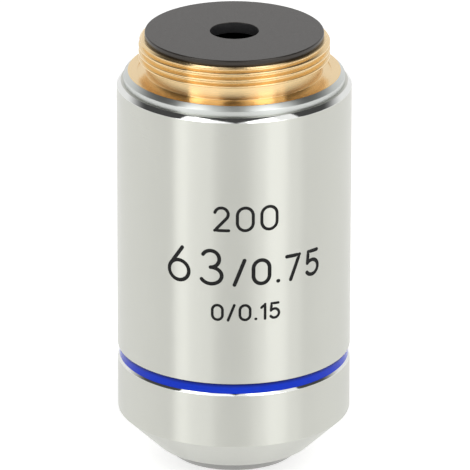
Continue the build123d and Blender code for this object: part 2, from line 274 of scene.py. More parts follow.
def turned(name, corners, around):
    """A turned piece: a closed half section of (radius, height, rounding) corners, spun about the axis."""
    steps = bpy.context.scene.objective_quality.round_steps
    bm = bmesh.new()
    section = [bm.verts.new((radius, 0, height)) for radius, height, _ in corners]
    for start, end in zip(section, section[1:] + section[:1]):
        bm.edges.new((start, end))
    for corner, (_, _, rounding) in zip(section, corners):
        if rounding:
            bmesh.ops.bevel(
                bm, geom=[corner], offset=rounding, offset_type="OFFSET", segments=steps, profile=0.5,
                affect="VERTICES", material=-1,
            )
    spin_section(bm, around)
    return finish_mesh(name, bm)


def spin_section(bm, around):
    """Spins everything in the mesh once about the axis."""
    everything = bm.verts[:] + bm.edges[:]
    bmesh.ops.spin(bm, geom=everything, cent=CENTRE, axis=AXIS, angle=2 * pi, steps=around, use_merge=True)
    bmesh.ops.remove_doubles(bm, verts=bm.verts[:], dist=SAME)


def face_outwards(bm):
    """Points the faces outwards; the operator is only sure of it on a mesh that measures whole units."""
    enlarged = 1 / MM
    bmesh.ops.scale(bm, vec=(enlarged, enlarged, enlarged), verts=bm.verts[:])
    bmesh.ops.recalc_face_normals(bm, faces=bm.faces[:])
    bmesh.ops.scale(bm, vec=(MM, MM, MM), verts=bm.verts[:])


def mark_sharp_edges(bm):
    """Shades across all edges but the sharp and the open ones."""
    for edge in bm.edges:
        edge.smooth = len(edge.link_faces) == 2 and edge.calc_face_angle(0) < SHARP


def add_object(name, bm):
    """Makes an object of the mesh and uses the mesh up."""
    mesh = bpy.data.meshes.new(name)
    bm.to_mesh(mesh)
    bm.free()
    piece = bpy.data.objects.new(name, mesh)
    bpy.context.scene.collection.objects.link(piece)
    return piece


def finish_mesh(name, bm):
    """Makes a piece of the mesh, smooth but for its sharp edges, with the normals of its wide faces."""
    face_outwards(bm)
    for face in bm.faces:
        face.smooth = True
    mark_sharp_edges(bm)
    piece = add_object(name, bm)
    weighted = piece.modifiers.new("wide_face_normals", "WEIGHTED_NORMAL")
    weighted.keep_sharp = True
    return piece


def give_finishes(piece, materials):
    """Adds materials to those that the piece has."""
    for material in materials:
        piece.data.materials.append(material)


def stand_for(piece, body, nodes):
    """Lets a piece stand for its solids on its body."""
    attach(piece, body)
    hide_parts(*nodes)


def radius_of(point):
    """Distance of a point from the axis."""
    return hypot(point.x, point.y)


# Materials


class Nodes:
    """A short way to lay out the nodes of a material or a world."""

    def __init__(self, owner):
        owner.use_nodes = True
        self.tree = owner.node_tree

    def add(self, kind, settings=None, **values):
        """Adds a node; its sockets are given by name, or as i0, i1 and so on by number."""
        node = self.tree.nodes.new(kind)
        for key, value in (settings or {}).items():
            setattr(node, key, value)
        for key, value in values.items():
            self.feed(node.inputs[int(key[1:]) if key[1:].isdigit() else key.replace("_", " ")], value)
        return node

    def feed(self, socket, value):
        """Links the socket to another one, or sets it to a constant."""
        if isinstance(value, bpy.types.NodeSocket):
            self.tree.links.new(value, socket)
        else:
            socket.default_value = value

    def math(self, operation, *values):
        """Works out one value from others."""
        node = self.add("ShaderNodeMath", {"operation": operation})
        for socket, value in zip(node.inputs, values):
            self.feed(socket, value)
        return node.outputs[0]

    def span(self, value, low, high, low_to, high_to, interpolation="LINEAR"):
        """Maps a value from one range to another, and stays within it."""
        node = self.add("ShaderNodeMapRange", {"clamp": True, "interpolation_type": interpolation})
        for socket, given in zip(node.inputs, (value, low, high, low_to, high_to)):
            self.feed(socket, given)
        return node.outputs[0]


class Finishing(Nodes):
    """A new material and the nodes that feed its shader."""

    def __init__(self, name):
        self.material = bpy.data.materials.new(name)
        super().__init__(self.material)
        self.shader = self.tree.nodes["Principled BSDF"]

    def object_point(self):
        """Place on the piece, in metres."""
        return self.add("ShaderNodeTexCoord").outputs["Object"]

    def radius_and_height(self):
        """Distance from the axis and height, in metres."""
        split = self.add("ShaderNodeSeparateXYZ", i0=self.object_point())
        flat = self.add("ShaderNodeCombineXYZ", i0=split.outputs[0], i1=split.outputs[1])
        radius = self.add("ShaderNodeVectorMath", {"operation": "LENGTH"}, i0=flat.outputs[0])
        return radius.outputs["Value"], split.outputs[2]

    def noise(self, size, detail, roughness, point):
        """Noise with features of the given size."""
        node = self.add(
            "ShaderNodeTexNoise", Scale=1 / size, Detail=detail, Roughness=roughness, Vector=point
        )
        return node.outputs["Fac"]

    def turning(self, width):
        """Noise that changes along the profile of a turned piece and not round it."""
        radius, height = self.radius_and_height()
        along = self.add("ShaderNodeCombineXYZ", i0=radius, i1=height)
        return self.noise(width, detail=2.0, roughness=0.6, point=along.outputs[0])

    def clouds(self, size):
        """Noise over the surface."""
        return self.noise(size, detail=3.0, roughness=0.55, point=self.object_point())

    def from_noise(self, noise, low, high):
        """Spreads a noise, which is mostly between 0.3 and 0.7, over a range."""
        return self.span(noise, 0.3, 0.7, low, high)

    def bump(self, height, distance, strength):
        """Fine relief in the shading."""
        node = self.add("ShaderNodeBump", Height=height, Distance=distance, Strength=strength)
        self.feed(self.shader.inputs["Normal"], node.outputs[0])

    def mixed(self, share, first, second):
        """Mixes two colours; those are a Mix node's sockets 6 and 7, and its output 2."""
        node = self.add("ShaderNodeMix", {"data_type": "RGBA"}, i0=share, i6=first, i7=second)
        return node.outputs[2]

    def toned(self, share, tint, low, high):
        """A colour that goes from a darker to a lighter tone of the tint."""
        return self.mixed(share, shade(tint, low), shade(tint, high))

    def set(self, **values):
        """Feeds the shader's sockets, given by name."""
        for key, value in values.items():
            self.feed(self.shader.inputs[key.replace("_", " ")], value)

    def turned_shine(self, amount):
        """Highlights drawn out across the turning marks."""
        tangent = self.add("ShaderNodeTangent", {"direction_type": "RADIAL", "axis": "Z"})
        self.set(Anisotropic=amount, Anisotropic_Rotation=0.25, Tangent=tangent.outputs[0])


def shade(tint, factor):
    """A tint made darker or lighter, as an opaque colour."""
    return tuple(channel * factor for channel in tint[:3]) + (1.0,)


def shared(name, make):
    """The material of that name, made now if no piece has needed it before."""
    return bpy.data.materials.get(name) or make()


# Width of the marks that fine turning leaves
FINE_MARKS = 0.05 * MM


def turned_metal(name, tint, roughness, spread, shine, variation, marks=FINE_MARKS):
    """Metal with turning marks: its roughness and tone change a little from mark to mark."""
    nodes = Finishing(name)
    grain = nodes.turning(marks)
    cloud = nodes.clouds(6 * MM)
    nodes.set(Metallic=1.0)
    grain_share = 0.6
    share = nodes.math(
        "ADD",
        nodes.math("MULTIPLY", grain, grain_share),
        nodes.math("MULTIPLY", cloud, 1 - grain_share),
    )
    tone = nodes.toned(share, tint, 1 - variation, 1 + variation)
    nodes.set(Base_Color=tone, Roughness=nodes.from_noise(share, roughness - spread, roughness + spread))
    nodes.bump(grain, distance=0.4 * marks, strength=0.06)
    nodes.turned_shine(shine)
    return nodes.material


def satin_chrome():
    """Satin chrome of the sleeve's wall."""
    tint = bpy.context.scene.objective_finish.satin
    return turned_metal("satin_chrome", tint, roughness=0.29, spread=0.02, shine=1.0, variation=0.015)


def cone_chrome():
    """Satin chrome of the sleeve's cone, made darker than the wall's as painted shade on the downward-facing
    cone.
    """
    tint = bpy.context.scene.objective_finish.cone
    return turned_metal("cone_chrome", tint, roughness=0.29, spread=0.02, shine=1.0, variation=0.015)


def rim_chrome():
    """Plating of the mount's rim."""
    tint = bpy.context.scene.objective_finish.rim
    return turned_metal("rim_chrome", tint, roughness=0.34, spread=0.02, shine=0.8, variation=0.02)


def nose_chrome():
    """Chrome of the retracting nose, its tint darkened as painted shade."""
    tint = bpy.context.scene.objective_finish.nose
    return turned_metal("nose_chrome", tint, roughness=0.26, spread=0.02, shine=0.6, variation=0.02)


def polished_chrome():
    """Polished chrome of the sleeve's edges and the tip."""
    tint = bpy.context.scene.objective_finish.polished
    return turned_metal("polished_chrome", tint, roughness=0.05, spread=0.01, shine=0.0, variation=0.015)


def mount_brass():
    """Bare turned brass of the mount."""
    tint = bpy.context.scene.objective_finish.brass
    return turned_metal("mount_brass", tint, roughness=0.22, spread=0.04, shine=0.9, variation=0.06)


def inner_brass():
    """Coarser brass of the tubes and rings inside."""
    tint = bpy.context.scene.objective_finish.brass
    return turned_metal(
        "inner_brass", tint, roughness=0.34, spread=0.05, shine=0.5, variation=0.08, marks=0.08 * MM
    )


def spring_wire():
    """Drawn steel of the spring and the guide screw."""
    tint = bpy.context.scene.objective_finish.steel
    return turned_metal(
        "spring_wire", tint, roughness=0.32, spread=0.06, shine=0.0, variation=0.08, marks=0.2 * MM
    )


def enamel_blue():
    """Glossy enamel, with painted shade that darkens its colour towards the groove's upper edge."""
    tint = bpy.context.scene.objective_finish.enamel
    ring_top = bpy.context.scene.objective_sleeve.ring_top
    nodes = Finishing("enamel_blue")
    cloud = nodes.clouds(1.5 * MM)
    even = nodes.toned(cloud, tint, 0.92, 1.08)
    height = nodes.radius_and_height()[1]
    # Painted shade: the colour darkens from 0.55 mm under the groove's upper edge, and is darkest from 0.1 mm
    # under it, as shade cast by that edge
    shade_start, shade_full = ring_top - 0.55 * MM, ring_top - 0.1 * MM
    painted_shade_share = nodes.span(height, shade_start, shade_full, 0, 1)
    nodes.set(
        Base_Color=nodes.mixed(painted_shade_share, even, shade(tint, 0.16)),
        Roughness=nodes.from_noise(cloud, 0.10, 0.16),
        Specular_IOR_Level=0.16,
    )
    nodes.bump(cloud, distance=0.05 * MM, strength=0.05)
    return nodes.material


def anodised_black():
    """Black anodising with a fine grain."""
    tint = bpy.context.scene.objective_finish.anodised
    nodes = Finishing("anodised_black")
    grain = nodes.clouds(0.2 * MM)
    cloud = nodes.clouds(3 * MM)
    nodes.set(
        Base_Color=nodes.toned(cloud, tint, 0.9, 1.12),
        Roughness=nodes.from_noise(grain, 0.27, 0.33),
        Specular_IOR_Level=0.58,
        Specular_Tint=(1.0, 0.93, 0.87, 1.0),
    )
    nodes.bump(nodes.clouds(0.12 * MM), distance=0.02 * MM, strength=0.15)
    return nodes.material


def blackened_brass():
    """Matt black brass of the inner cells."""
    tint = bpy.context.scene.objective_finish.blackened
    nodes = Finishing("blackened_brass")
    cloud = nodes.clouds(0.8 * MM)
    nodes.set(Base_Color=nodes.toned(cloud, tint, 0.8, 1.3), Roughness=nodes.from_noise(cloud, 0.6, 0.75))
    return nodes.material


def number_paint():
    """Black filling of the engraved numbers."""
    tint = bpy.context.scene.objective_finish.paint
    nodes = Finishing("number_paint")
    cloud = nodes.clouds(0.3 * MM)
    nodes.set(
        Base_Color=nodes.toned(cloud, tint, 0.7, 1.5),
        Roughness=nodes.from_noise(cloud, 0.4, 0.6),
        Specular_IOR_Level=0.15,
    )
    nodes.bump(cloud, distance=0.02 * MM, strength=0.2)
    return nodes.material


def coated_glass(name, tint, index):
    """Polished glass with a thin coating's tint in its reflections."""
    nodes = Finishing(name)
    nodes.set(
        Base_Color=nodes.toned(nodes.clouds(5 * MM), tint, 0.98, 1.0),
        Roughness=0.02,
        IOR=index,
        Transmission_Weight=1.0,
        Specular_Tint=(0.75, 0.65, 1.0, 1.0),
    )
    return nodes.material


def crown_glass():
    """Clear glass of the crown lenses."""
    return coated_glass("crown_glass", (0.97, 0.98, 1.0), 1.52)


def flint_glass():
    """Slightly yellow, denser glass of the flint lenses."""
    return coated_glass("flint_glass", (0.99, 0.98, 0.94), 1.65)


# Pieces


def thread_height(share, depth):
    """Height of a rounded 55 degree thread over its root, for a share of a pitch from the root."""
    triangle = 1 - abs(2 * (share % 1) - 1)
    # This share of the triangle is cut off at its root and again at its crest
    cut = 1 / 6
    flank = min(max((triangle - cut) / (1 - 2 * cut), 0), 1)
    wave = (1 - cos(pi * flank)) / 2
    return depth * (flank + wave) / 2


def cut_thread(bm, sizes):
    """Moves the rows of the plain thread down to a right-handed helix with a chamfered start."""
    top = mount_high.z
    root = sizes.radius - sizes.depth
    for vert in bm.verts:
        outside = radius_of(vert.co) > root - SAME
        if outside and sizes.neck_top - SAME < vert.co.z < top + SAME:
            turn = (atan2(vert.co.y, vert.co.x) - FRONT_ANGLE) / (2 * pi)
            share = (vert.co.z - sizes.first_crest) / sizes.pitch - turn + 0.5
            chamfered = sizes.radius - sizes.chamfer + top - vert.co.z
            wanted = min(root + thread_height(share, sizes.depth), chamfered)
            factor = wanted / radius_of(vert.co)
            vert.co.x *= factor
            vert.co.y *= factor


def make_thread_mount():
    """Brass mount with its cut thread, and the plated rim as a second finish."""
    scene = bpy.context.scene
    sizes = scene.objective_thread
    soft = sizes.edge_round
    corners = [
        (sizes.spigot_bore, mount_high.z, 0),
        (sizes.spigot_bore, sizes.ledge_top, 0),
        (sizes.ledge_bore, sizes.ledge_top, 0),
        (sizes.ledge_bore, sizes.ledge_bottom, 0),
        (sizes.skirt_bore, sizes.ledge_bottom, 0),
        (sizes.skirt_bore, mount_low.z, 0),
        (sizes.skirt_radius, mount_low.z, 0),
        (sizes.skirt_radius, sizes.rim_bottom, 0),
        (sizes.rim_radius, sizes.rim_bottom, soft),
        (sizes.rim_radius, sizes.face_radius - sizes.rim_radius, soft),
        (sizes.face_radius, 0, soft),
        (sizes.relief_radius, 0, 0),
        (sizes.relief_radius, -sizes.relief_depth, 0),
        (sizes.neck_radius, -sizes.relief_depth, 2 * soft),
        (sizes.neck_radius, sizes.neck_top, 0),
    ]
    thread_length = mount_high.z - sizes.neck_top
    rows = ceil(thread_length / sizes.row_height)
    corners += [(sizes.radius, sizes.neck_top + thread_length * row / rows, 0) for row in range(rows + 1)]
    piece = turned("brass_thread_mount", corners, scene.objective_quality.around)
    bm = bmesh.new()
    bm.from_mesh(piece.data)
    cut_thread(bm, sizes)
    brass, rim, dark = range(3)
    plated = sizes.face_radius + soft
    bored = sizes.neck_radius - MM
    for face in bm.faces:
        middle = face.calc_center_median()
        on_rim = radius_of(middle) > plated and middle.z > sizes.rim_bottom + SAME
        in_bore = radius_of(middle) < bored and middle.z < mount_high.z - SAME
        under_rim = middle.z < sizes.rim_bottom
        face.material_index = rim if on_rim else dark if in_bore or under_rim else brass
    mark_sharp_edges(bm)
    bm.to_mesh(piece.data)
    bm.free()
    give_finishes(piece, [mount_brass(), rim_chrome(), shared("blackened_brass", blackened_brass)])
    stand_for(piece, "body", ["thread_mount"])


def make_rear_stop():
    """Black stop with its rounded rim and light opening."""
    scene = bpy.context.scene
    sizes = scene.objective_stop
    edge = sizes.edge_round
    plate_bottom = stop_high.z - sizes.plate
    corners = [
        (sizes.opening, stop_high.z, edge),
        (sizes.disc_radius, stop_high.z, sizes.rim_round),
        (sizes.disc_radius, mount_high.z, edge),
        (sizes.spigot_radius, mount_high.z, 0),
        (sizes.spigot_radius, stop_low.z, edge),
        (sizes.spigot_bore, stop_low.z, edge),
        (sizes.spigot_bore, plate_bottom, 0),
        (sizes.opening, plate_bottom, edge),
    ]
    piece = turned("black_rear_stop", corners, scene.objective_quality.around)
    glossy, matt = range(2)
    for face in piece.data.polygons:
        in_bore = radius_of(face.center) < sizes.opening + SAME or face.center.z < mount_high.z - SAME
        face.material_index = matt if in_bore else glossy
    give_finishes(piece, [anodised_black(), shared("blackened_brass", blackened_brass)])
    stand_for(piece, "body", ["rear_stop"])


def make_colour_ring():
    """Enamel that lies at the back of the groove, drawn up a little at both its edges."""
    scene = bpy.context.scene
    sizes = scene.objective_sleeve
    rise = sizes.enamel_rise
    fit = sizes.enamel_fit
    back = sleeve_high.x - sizes.ring_depth + fit
    front = back + sizes.enamel
    foot = sizes.ring_bottom + sizes.ring_depth
    corners = [
        (back, sizes.ring_top - fit, 0),
        (front + rise, sizes.ring_top - fit, 0),
        (front, sizes.ring_top - sizes.enamel_bend, 1.5 * rise),
        (front, foot + rise, rise),
        (front + rise, foot - rise, 0),
        (back, foot + fit, 0),
    ]
    piece = turned("blue_enamel_ring", corners, scene.objective_quality.around)
    give_finishes(piece, [enamel_blue()])
    stand_for(piece, "body", ["colour_ring"])


def make_outer_sleeve():
    """Satin sleeve with polished edges and engraved, black-filled numbers."""
    scene = bpy.context.scene
    sizes = scene.objective_sleeve
    edge = sizes.edge_round
    outside = sleeve_high.x
    groove = outside - sizes.ring_depth
    corners = [
        (sizes.bore, sleeve_high.z, 0),
        (sizes.bore, sizes.crease, 0),
        (sizes.end_bore, sizes.end_bore_top, 0),
        (sizes.end_bore, sleeve_low.z, edge / 2),
        (sizes.cone_radius, sleeve_low.z, edge),
        (outside, sizes.crease, edge),
        (outside, sizes.ring_bottom, edge / 2),
        (groove, sizes.ring_bottom + sizes.ring_depth, 0),
        (groove, sizes.ring_top, 0),
        (outside, sizes.ring_top, edge / 2),
        (outside, sleeve_high.z - sizes.chamfer, edge / 2),
        (sizes.top_radius, sleeve_high.z, edge / 2),
    ]
    piece = turned("chromed_sleeve", corners, scene.objective_quality.around)
    # The cone takes a darker copy of the satin chrome, as painted shade
    satin, polished, cone = range(3)
    top_edge = sleeve_high.z - sizes.chamfer - edge / 2
    for face in piece.data.polygons:
        on_top = face.center.z > top_edge and radius_of(face.center) > sizes.top_radius
        at_ring = sizes.ring_bottom - edge < face.center.z < sizes.ring_top + edge / 2
        in_groove = at_ring and radius_of(face.center) > sizes.bore + MM
        on_cone = face.center.z < sizes.crease - edge
        face.material_index = polished if on_top or in_groove else cone if on_cone else satin
    give_finishes(piece, [satin_chrome(), shared("polished_chrome", polished_chrome), cone_chrome()])
    engrave_numbers(piece)
    stand_for(piece, "body", ["outer_sleeve"])


def engrave_numbers(piece):
    """Cuts the numbers into the sleeve and keeps its wall's normals true to the cylinder."""
    numbers = bpy.context.scene.objective_numbers
    outside = sleeve_high.x
    cutter = number_strokes(outside - numbers.depth, outside + numbers.cutter_play)
    paint = number_paint()
    give_finishes(piece, [paint])
    give_finishes(cutter, [paint])
    piece.modifiers.clear()
    engraving = piece.modifiers.new("engraving", "BOOLEAN")
    engraving.operation = "DIFFERENCE"
    engraving.solver = "EXACT"
    engraving.material_mode = "TRANSFER"
    engraving.use_self = True
    engraving.object = cutter
    apply_modifiers(piece)
    bpy.data.objects.remove(cutter)
    mesh = piece.data
    as_it_was = Vector((0, 0, 0))
    normals = [as_it_was] * len(mesh.loops)
    for face in mesh.polygons:
        face.use_smooth = True
        faces_out = face.normal.dot(away_from_axis(face.center)) > cos(radians(1))
        if faces_out and radius_of(face.center) > outside - 2 * numbers.depth:
            for loop in face.loop_indices:
                normals[loop] = away_from_axis(mesh.vertices[mesh.loops[loop].vertex_index].co)
        elif mesh.materials[face.material_index].name == paint.name:
            for loop in face.loop_indices:
                normals[loop] = face.normal.copy()
    mesh.normals_split_custom_set(normals)


def away_from_axis(point):
    """Level direction from the axis to a point."""
    return Vector((point.x, point.y, 0)).normalized()


def apply_modifiers(piece):
    """Replaces the piece's mesh by what its modifiers make of it."""
    graph = bpy.context.evaluated_depsgraph_get()
    result = bpy.data.meshes.new_from_object(piece.evaluated_get(graph))
    piece.modifiers.clear()
    piece.data = result


# Engraved numbers, in the single strokes of an engraving cutter


# Degrees from one point of an arc to the next
ARC_STEP = 10
# A stroke that turns by more than this gets a round joint
JOINT_ANGLE = radians(25)


def stroke_line(*points):
    """Corners of a stroke, in shares of the sign's height."""
    return list(points)


def stroke_arc(middle, radii, start, end):
    """Points along a part of an ellipse; angles are in degrees, from the right and anticlockwise."""
    steps = ceil(abs(end - start) / ARC_STEP)
    turns = [radians(start + (end - start) * step / steps) for step in range(steps + 1)]
    return [(middle[0] + radii[0] * cos(turn), middle[1] + radii[1] * sin(turn)) for turn in turns]


# Width and strokes of each sign, in shares of its height
SIGNS = {
    "0": (0.66, [
        stroke_arc((0.33, 0.66), (0.33, 0.34), 0, 180)
        + stroke_arc((0.33, 0.34), (0.33, 0.34), 180, 360)
        + stroke_line((0.66, 0.66))
    ]),
    "1": (0.24, [stroke_line((0, 0.78), (0.24, 1), (0.24, 0))]),
    "2": (0.58, [stroke_arc((0.28, 0.72), (0.28, 0.28), 165, -38) + stroke_line((0, 0), (0.58, 0))]),
    "3": (0.6, [
        stroke_arc((0.28, 0.75), (0.25, 0.25), 150, -90),
        stroke_arc((0.29, 0.25), (0.31, 0.25), 90, -150),
    ]),
    "5": (0.58, [
        stroke_line((0.53, 1), (0.08, 1), (0.04, 0.52)),
        stroke_arc((0.27, 0.31), (0.31, 0.31), 138, -145),
    ]),
    "6": (0.62, [stroke_arc((0.31, 0.3), (0.31, 0.3), 155, -205) + stroke_line((0.42, 1))]),
    "7": (0.58, [stroke_line((0, 1), (0.58, 1), (0.18, 0))]),
    "/": (0.4, [stroke_line((0, -0.02), (0.4, 1.02))]),
    ".": (0.02, [stroke_line((0, 0.03), (0.02, 0.03))]),
}
# Gap between two signs, in the same shares
SIGN_GAP = 0.36
# Base, height of the signs before the first slash and from it on, and width of the pen
LINE_SIZES = {
    "first": (-13.56 * MM, 2.55 * MM, 2.55 * MM, 0.34 * MM),
    "second": (-19.64 * MM, 3.75 * MM, 2.65 * MM, 0.42 * MM),
    "third": (-23.68 * MM, 1.65 * MM, 1.65 * MM, 0.3 * MM),
}


def short_steps(points, pen):
    """Points along a stroke, no further apart than the pen is wide."""
    steps = []
    for (x, z), (next_x, next_z) in zip(points, points[1:]):
        parts = max(1, ceil(hypot(next_x - x, next_z - z) / pen))
        steps += [(x + (next_x - x) * part / parts, z + (next_z - z) * part / parts) for part in range(parts)]
    return steps + [points[-1]]


def stroke_strip(bm, points, pen):
    """Flat strip along one stroke, without its ends."""
    steps = short_steps(points, pen)
    previous = None
    for index, (x, z) in enumerate(steps):
        before, after = steps[max(index - 1, 0)], steps[min(index + 1, len(steps) - 1)]
        along = atan2(after[1] - before[1], after[0] - before[0])
        side = Vector((-sin(along), 0, cos(along))) * pen / 2
        if previous is None:
            ends = [bm.verts.new(Vector((x, 0, z)) + side), bm.verts.new(Vector((x, 0, z)) - side)]
            previous = bm.edges.new(ends)
            continue
        grown = bmesh.ops.extrude_edge_only(bm, edges=[previous])["geom"]
        ends = [item for item in grown if isinstance(item, bmesh.types.BMVert)]
        behind = Vector((steps[index - 1][0], 0, steps[index - 1][1]))
        for end in ends:
            same_side = (end.co - behind).dot(side) > 0
            end.co = Vector((x, 0, z)) + (side if same_side else -side)
        previous = next(item for item in grown if isinstance(item, bmesh.types.BMEdge))


def corner_discs(bm, points, pen):
    """Round ends of a stroke, and round joints where it turns sharply."""
    upright = Matrix.Rotation(pi / 2, 4, "X")
    sides = bpy.context.scene.objective_quality.pen_sides
    for index, (x, z) in enumerate(points):
        is_end = index in (0, len(points) - 1)
        if not is_end:
            into = Vector((x - points[index - 1][0], z - points[index - 1][1]))
            out = Vector((points[index + 1][0] - x, points[index + 1][1] - z))
            if min(into.length, out.length) < SAME or into.angle(out) < JOINT_ANGLE:
                continue
        spot = Matrix.Translation((x, 0, z)) @ upright
        bmesh.ops.create_circle(bm, cap_ends=True, segments=sides, radius=pen / 2, matrix=spot)


def line_strokes(bm, text, middle, base, tall, small, pen):
    """Lays out a line of signs; those from the first slash on are the small ones."""
    widths = []
    sign_heights = []
    for index, sign in enumerate(text):
        sign_heights.append(small if "/" in text[: index + 1] else tall)
        widths.append((SIGNS[sign][0] + SIGN_GAP) * sign_heights[-1])
    left = middle - (sum(widths) - SIGN_GAP * sign_heights[-1]) / 2
    for sign, width, height in zip(text, widths, sign_heights):
        for stroke in SIGNS[sign][1]:
            points = [(left + x * height, base + z * height) for x, z in stroke]
            stroke_strip(bm, points, pen)
            corner_discs(bm, points, pen)
        left += width


def number_strokes(inner, outer):
    """Prisms of all the strokes, bent round the sleeve between two radii."""
    numbers = bpy.context.scene.objective_numbers
    radius = sleeve_high.x
    bm = bmesh.new()
    for line, (base, tall, small, pen) in LINE_SIZES.items():
        line_strokes(bm, getattr(numbers, line), numbers.middle, base, tall, small, pen)
    flat = bm.verts[:] + bm.edges[:] + bm.faces[:]
    for vert in bm.verts:
        vert.co.y = inner
    grown = bmesh.ops.extrude_face_region(bm, geom=flat, use_keep_orig=True)["geom"]
    for vert in (item for item in grown if isinstance(item, bmesh.types.BMVert)):
        vert.co.y = outer
    bmesh.ops.triangulate(bm, faces=bm.faces[:])
    for vert in bm.verts:
        turn = vert.co.x / radius
        distance = vert.co.y
        vert.co = Vector((distance * sin(turn), -distance * cos(turn), vert.co.z))
    return finish_mesh("number_cutter", bm)


def make_nose():
    """Chromed nose with its bevel."""
    scene = bpy.context.scene
    sizes = scene.objective_nose
    edge = sizes.edge_round
    wall_top = nose_low.z + sizes.wall
    corners = [
        (sizes.hole, nose_low.z, edge / 2),
        (sizes.radius - sizes.chamfer, nose_low.z, edge),
        (sizes.radius, nose_low.z + sizes.chamfer, edge),
        (sizes.radius, nose_high.z, edge),
        (sizes.bore, nose_high.z, 0),
        (sizes.bore, wall_top, 0),
        (sizes.hole, wall_top, 0),
    ]
    piece = turned("chromed_nose", corners, scene.objective_quality.around)
    # The nose's dark chrome is painted shade
    give_finishes(piece, [nose_chrome()])
    stand_for(piece, "lens_unit", ["nose_cone"])


def make_front_cell():
    """Chromed tip with the front lens's pocket."""
    scene = bpy.context.scene
    sizes = scene.objective_nose
    edge = sizes.edge_round / 2
    flange_bottom = nose_low.z + sizes.wall
    seat = lens_low.z + sizes.seat_height
    corners = [
        (sizes.lens_pocket, cell_low.z, edge),
        (sizes.tip_radius - sizes.tip_chamfer, cell_low.z, edge),
        (sizes.tip_radius, cell_low.z + sizes.tip_chamfer, edge),
        (sizes.tip_radius, flange_bottom, 0),
        (sizes.flange_radius, flange_bottom, edge),
        (sizes.flange_radius, cell_high.z, edge),
        (sizes.exit_radius, cell_high.z, 0),
        (sizes.seat_bore, seat + sizes.seat_length, 0),
        (sizes.seat_bore, seat, 0),
        (sizes.lens_pocket, seat, 0),
    ]
    piece = turned("chromed_front_cell", corners, scene.objective_quality.around_small)
    give_finishes(piece, [shared("polished_chrome", polished_chrome)])
    stand_for(piece, "lens_unit", ["front_cell"])


def make_spring():
    """Coil spring, spun from a round section at its solid's length; the real spring is squeezed as the nose
    retracts.
    """
    scene = bpy.context.scene
    sizes = scene.objective_spring
    quality = scene.objective_quality
    room = spring_high.z - spring_low.z
    height = room - sizes.wire
    turns = height / sizes.pitch
    steps = ceil(turns * quality.coil_steps)
    bm = bmesh.new()
    upright = Matrix.Rotation(pi / 2, 4, "X")
    start = Matrix.Translation((sizes.coil_radius, 0, spring_low.z + sizes.wire / 2)) @ upright
    bmesh.ops.create_circle(
        bm, cap_ends=True, segments=quality.wire_sides, radius=sizes.wire / 2, matrix=start
    )
    bmesh.ops.spin(
        bm,
        geom=bm.verts[:] + bm.edges[:] + bm.faces[:],
        cent=CENTRE,
        axis=AXIS,
        dvec=(0, 0, height / steps),
        angle=2 * pi * turns,
        steps=steps,
    )
    bmesh.ops.remove_doubles(bm, verts=bm.verts[:], dist=SAME)
    piece = finish_mesh("coiled_spring", bm)
    give_finishes(piece, [shared("spring_wire", spring_wire)])
    stand_for(piece, "body", ["retraction_spring"])
    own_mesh(piece)


def finish_solids():
    """Gives every solid that still shows its own finish."""
    black = shared("blackened_brass", blackened_brass)
    finishes = {
        "crown_glass": crown_glass(),
        "flint_glass": flint_glass(),
        "inner_brass": inner_brass(),
        "black_brass": black,
        "black_anodised": black,
        "spring_steel": shared("spring_wire", spring_wire),
    }
    for part in frame["record"]["subparts"]:
        solid = frame["nodes"][part["node"]]
        if not solid.hide_render:
            solid.data.materials.clear()
            give_finishes(solid, [finishes[part["material_slot"]]])


# Stage


def pale_floor():
    """Finish that looks white to the camera and in metal and glass, and still takes the shadow."""
    nodes = Finishing("pale_floor")
    light_path = nodes.add("ShaderNodeLightPath")
    seen = nodes.math("MAXIMUM", light_path.outputs["Is Camera Ray"], light_path.outputs["Is Glossy Ray"])
    seen = nodes.math("MAXIMUM", seen, light_path.outputs["Is Transmission Ray"])
    darker, lighter = (0.78, 0.78, 0.77, 1), (0.82, 0.82, 0.81, 1)
    own_light = 0.62
    nodes.set(
        Base_Color=nodes.mixed(nodes.clouds(200 * MM), darker, lighter),
        Roughness=0.9,
        Emission_Color=(1, 1, 1, 1),
        Emission_Strength=nodes.math("MULTIPLY", seen, own_light),
    )
    return nodes.material


def make_floor():
    """Level floor just under the tip."""
    sizes = bpy.context.scene.objective_stage
    bm = bmesh.new()
    spot = Matrix.Translation((0, 0, cad_bounds[0].z - sizes.floor_gap))
    bmesh.ops.create_grid(bm, x_segments=1, y_segments=1, size=sizes.floor_width / 2, matrix=spot)
    floor = add_object("pale_floor", bm)
    give_finishes(floor, [pale_floor()])


def make_world():
    """White surroundings, dark overhead and towards the camera, as in a studio with a dark ceiling."""
    world = bpy.data.worlds.new("studio")
    bpy.context.scene.world = world
    nodes = Nodes(world)
    split = nodes.add("ShaderNodeSeparateXYZ", i0=nodes.add("ShaderNodeTexCoord").outputs["Generated"])
    forward_tilt = -0.35
    white, ceiling = 0.95, 0.07
    ceiling_start, ceiling_end = 0.1, 0.5
    height = nodes.math("MULTIPLY_ADD", split.outputs[1], forward_tilt, split.outputs[2])
    light = nodes.span(height, ceiling_start, ceiling_end, white, ceiling, "SMOOTHSTEP")
    seen = nodes.add("ShaderNodeLightPath").outputs["Is Camera Ray"]
    background = nodes.tree.nodes["Background"]
    nodes.feed(background.inputs["Color"], (1, 1, 1, 1))
    nodes.feed(background.inputs["Strength"], nodes.math("MAXIMUM", light, seen))


# Degrees to the right of the front, width and height in metres, and brightness of each lamp
LAMPS = {
    "left_softbox": (-38.5, 0.74, 1.25, 1.3),
    "left_lamp": (-53, 0.28, 1.2, 1.5),
    "right_softbox": (43, 0.98, 1.25, 1.0),
    "right_lamp": (42, 0.40, 1.2, 1.7),
}


